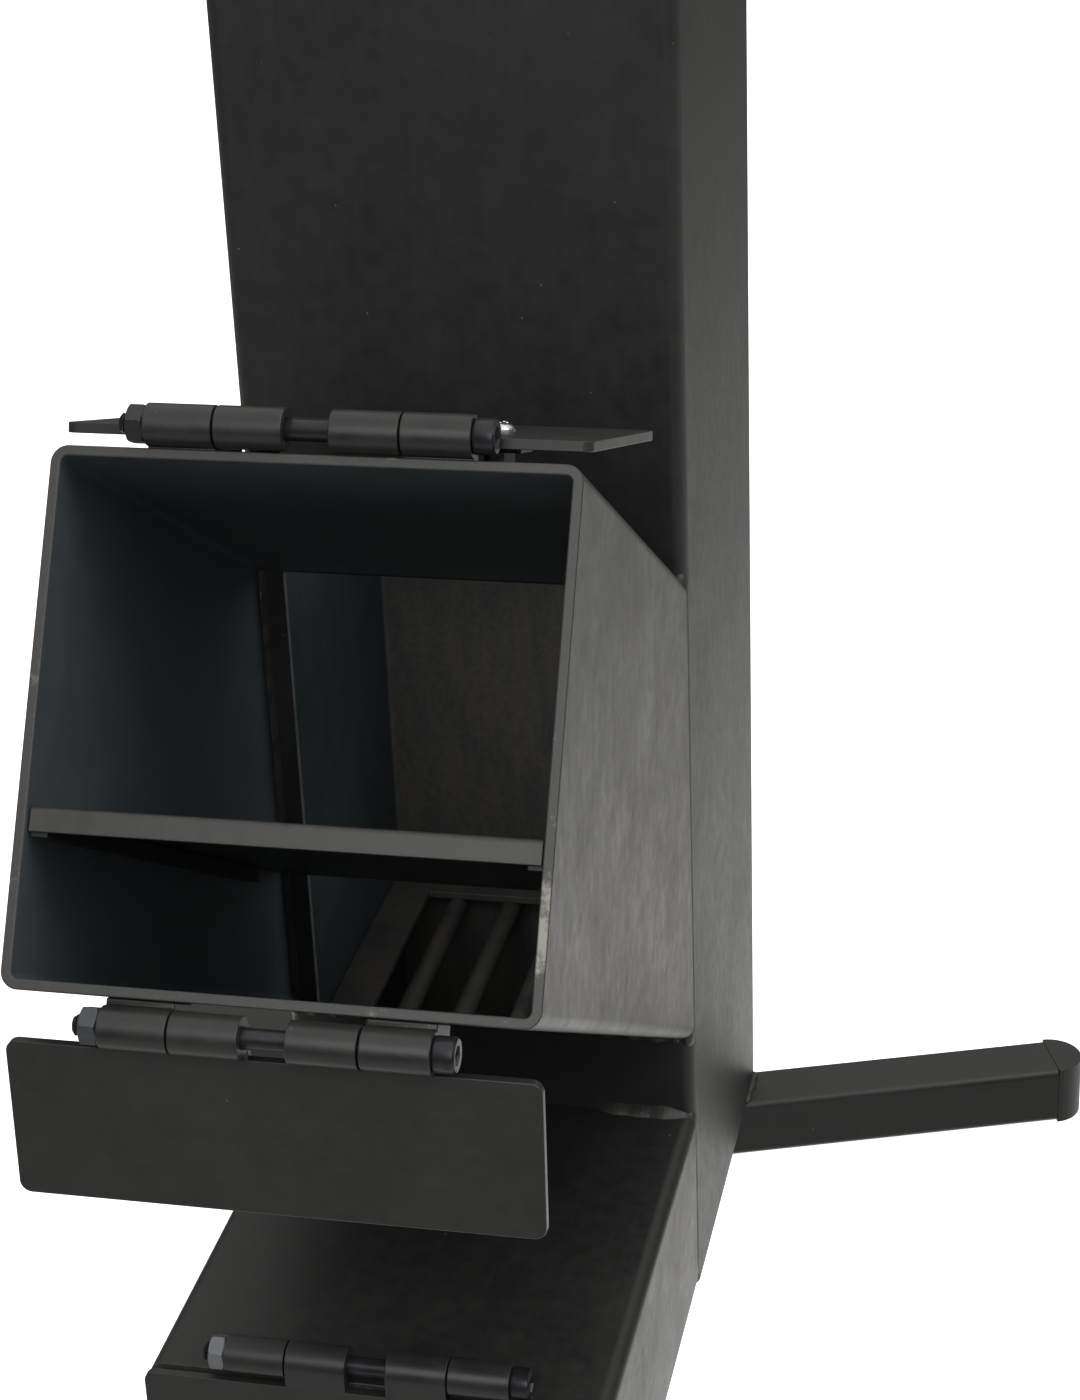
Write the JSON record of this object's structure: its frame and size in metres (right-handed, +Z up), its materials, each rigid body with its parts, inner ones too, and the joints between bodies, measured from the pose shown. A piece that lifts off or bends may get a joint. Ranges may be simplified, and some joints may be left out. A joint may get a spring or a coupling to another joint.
{
  "type": "rocket stove",
  "caption": "Rocket stove of square steel tube with a sloping feed tube, sliding fuel shelf, hinged lid, flap and ash door.",
  "frame": {"origin": "on the ground where the two legs meet, 36 mm behind the chimney's axis", "axes": "+Z up along the chimney, -Y the way the mouth and the ash door face, +X to the bolt heads' side"},
  "size_m": [0.4152, 0.4401, 0.5453],
  "materials": {
    "black_paint": "matt heat-resistant black paint",
    "hinge_black": "satin black, worn by handling",
    "zinc_steel": "zinc plated",
    "bright_steel": "bright plated",
    "black_plastic": "moulded",
    "bare_grate_steel": "painted, heat-marked"
  },
  "bodies": {
    "stove": {"chimney": "black_paint", "feed_tube": "black_paint", "air_tube": "black_paint", "floor_plate": "black_paint", "grate_seat": "bare_grate_steel", "grate_rods": "bare_grate_steel", "shelf_rails": "black_paint", "lid_tube_knuckles": "hinge_black", "lid_hinge_bolt": "hinge_black", "lid_hinge_nut": "hinge_black", "flap_tube_knuckles": "hinge_black", "flap_hinge_bolt": "hinge_black", "flap_hinge_nut": "zinc_steel", "ash_tube_knuckles": "hinge_black", "ash_hinge_bolt": "hinge_black", "ash_hinge_nut": "zinc_steel", "leg_left": "black_paint", "leg_right": "black_paint", "leg_caps": "black_plastic", "front_foot": "black_paint", "foot_caps": "black_plastic"},
    "lid": {"lid": "black_paint", "lid_door_knuckles": "hinge_black", "lid_handle": "black_paint", "lid_handle_screws": "bright_steel", "lid_handle_nuts": "zinc_steel"},
    "flap": {"flap": "black_paint", "flap_door_knuckles": "hinge_black"},
    "ash_door": {"ash_door": "black_paint", "ash_door_knuckles": "hinge_black"},
    "shelf": {"fuel_shelf": "black_paint"},
    "pot_cross": {"pot_cross_bar_across": "black_paint", "pot_cross_bar_along": "black_paint"}
  },
  "joints": [
    {"name": "lid_hinge", "type": "hinge", "parent": "stove", "child": "lid", "pos_m": [-0.0015, -0.26637, 0.41363], "axis": [-1, 0, 0], "range_deg": [-256, 0]},
    {"name": "flap_hinge", "type": "hinge", "parent": "stove", "child": "flap", "pos_m": [0.001, -0.35252, 0.27349], "axis": [1, 0, 0], "range_deg": [-209, 20]},
    {"name": "ash_door_hinge", "type": "hinge", "parent": "stove", "child": "ash_door", "pos_m": [-0.002, -0.276, 0.1063], "axis": [-1, 0, 0], "range_deg": [0, 265]},
    {"name": "shelf_slide", "type": "slide", "parent": "stove", "child": "shelf", "axis": [0, -0.848, 0.5299], "range_m": [0, 0.2]},
    {"name": "pot_cross_lift", "type": "slide", "parent": "stove", "child": "pot_cross", "axis": [0, 0, 1], "range_m": [0, 0.1]}
  ]
}
